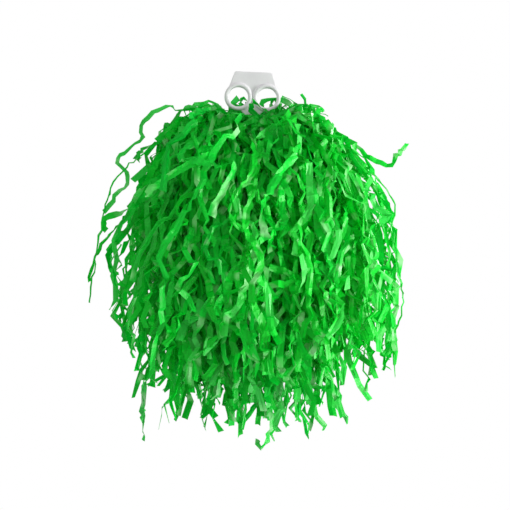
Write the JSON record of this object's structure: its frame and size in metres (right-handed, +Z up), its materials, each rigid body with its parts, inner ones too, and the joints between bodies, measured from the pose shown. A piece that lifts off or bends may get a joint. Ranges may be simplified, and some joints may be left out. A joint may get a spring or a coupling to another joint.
{
  "type": "cheer pom pom",
  "caption": "Hand-held cheerleading pom with a two-finger ring handle and a hanging mop of crinkled film strips.",
  "frame": {"origin": "midway between the two finger rings' centres, in the middle of the handle's thickness", "axes": "+X from the left ring to the right ring as the front view shows them, +Y along the ring bores away from the viewer, +Z up from the fringe to the palm plate"},
  "size_m": [0.306, 0.3058, 0.3879],
  "materials": {
    "handle_plastic": "satin",
    "tie_nylon": "satin",
    "green_film": "satin"
  },
  "bodies": {
    "handle": {"finger_handle": "handle_plastic"},
    "bundle": {"cable_tie": "tie_nylon", "gathered_band": "green_film", "right_front_inner_lock": "green_film", "right_back_inner_lock": "green_film", "left_back_inner_lock": "green_film", "left_front_inner_lock": "green_film", "right_core_lock": "green_film", "left_core_lock": "green_film"},
    "right_side_outer": {"right_side_outer_lock": "green_film"},
    "right_back_outer": {"right_back_outer_lock": "green_film"},
    "left_back_outer": {"left_back_outer_lock": "green_film"},
    "left_side_outer": {"left_side_outer_lock": "green_film"},
    "left_front_outer": {"left_front_outer_lock": "green_film"},
    "right_front_outer": {"right_front_outer_lock": "green_film"},
    "right_side_middle": {"right_side_middle_lock": "green_film"},
    "right_back_middle": {"right_back_middle_lock": "green_film"},
    "left_back_middle": {"left_back_middle_lock": "green_film"},
    "left_side_middle": {"left_side_middle_lock": "green_film"},
    "left_front_middle": {"left_front_middle_lock": "green_film"},
    "right_front_middle": {"right_front_middle_lock": "green_film"}
  },
  "joints": [
    {"name": "bundle_swing", "type": "hinge", "parent": "handle", "child": "bundle", "pos_m": [0, 0, -0.0365], "axis": [1, 0, 0], "range_deg": [-20, 20]},
    {"name": "right_side_outer_lift", "type": "hinge", "parent": "bundle", "child": "right_side_outer", "pos_m": [0.02, 0, -0.026], "axis": [0, -1, 0], "range_deg": [0, 24]},
    {"name": "right_back_outer_lift", "type": "hinge", "parent": "bundle", "child": "right_back_outer", "pos_m": [0.01, 0.01732, -0.026], "axis": [0.866, -0.5, 0], "range_deg": [0, 24]},
    {"name": "left_back_outer_lift", "type": "hinge", "parent": "bundle", "child": "left_back_outer", "pos_m": [-0.01, 0.01732, -0.026], "axis": [0.866, 0.5, 0], "range_deg": [0, 24]},
    {"name": "left_side_outer_lift", "type": "hinge", "parent": "bundle", "child": "left_side_outer", "pos_m": [-0.02, 0, -0.026], "axis": [0, 1, 0], "range_deg": [0, 24]},
    {"name": "left_front_outer_lift", "type": "hinge", "parent": "bundle", "child": "left_front_outer", "pos_m": [-0.01, -0.01732, -0.026], "axis": [-0.866, 0.5, 0], "range_deg": [0, 24]},
    {"name": "right_front_outer_lift", "type": "hinge", "parent": "bundle", "child": "right_front_outer", "pos_m": [0.01, -0.01732, -0.026], "axis": [-0.866, -0.5, 0], "range_deg": [0, 24]},
    {"name": "right_side_middle_lift", "type": "hinge", "parent": "bundle", "child": "right_side_middle", "pos_m": [0.02, 0, -0.0415], "axis": [0, -1, 0], "range_deg": [0, 12]},
    {"name": "right_back_middle_lift", "type": "hinge", "parent": "bundle", "child": "right_back_middle", "pos_m": [0.01, 0.01732, -0.0415], "axis": [0.866, -0.5, 0], "range_deg": [0, 12]},
    {"name": "left_back_middle_lift", "type": "hinge", "parent": "bundle", "child": "left_back_middle", "pos_m": [-0.01, 0.01732, -0.0415], "axis": [0.866, 0.5, 0], "range_deg": [0, 12]},
    {"name": "left_side_middle_lift", "type": "hinge", "parent": "bundle", "child": "left_side_middle", "pos_m": [-0.02, 0, -0.0415], "axis": [0, 1, 0], "range_deg": [0, 12]},
    {"name": "left_front_middle_lift", "type": "hinge", "parent": "bundle", "child": "left_front_middle", "pos_m": [-0.01, -0.01732, -0.0415], "axis": [-0.866, 0.5, 0], "range_deg": [0, 12]},
    {"name": "right_front_middle_lift", "type": "hinge", "parent": "bundle", "child": "right_front_middle", "pos_m": [0.01, -0.01732, -0.0415], "axis": [-0.866, -0.5, 0], "range_deg": [0, 12]}
  ],
  "couplings": [
    {"joint": "right_side_middle_lift", "follows": "right_side_outer_lift", "ratio": 0.5},
    {"joint": "right_back_middle_lift", "follows": "right_back_outer_lift", "ratio": 0.5},
    {"joint": "left_back_middle_lift", "follows": "left_back_outer_lift", "ratio": 0.5},
    {"joint": "left_side_middle_lift", "follows": "left_side_outer_lift", "ratio": 0.5},
    {"joint": "left_front_middle_lift", "follows": "left_front_outer_lift", "ratio": 0.5},
    {"joint": "right_front_middle_lift", "follows": "right_front_outer_lift", "ratio": 0.5}
  ]
}
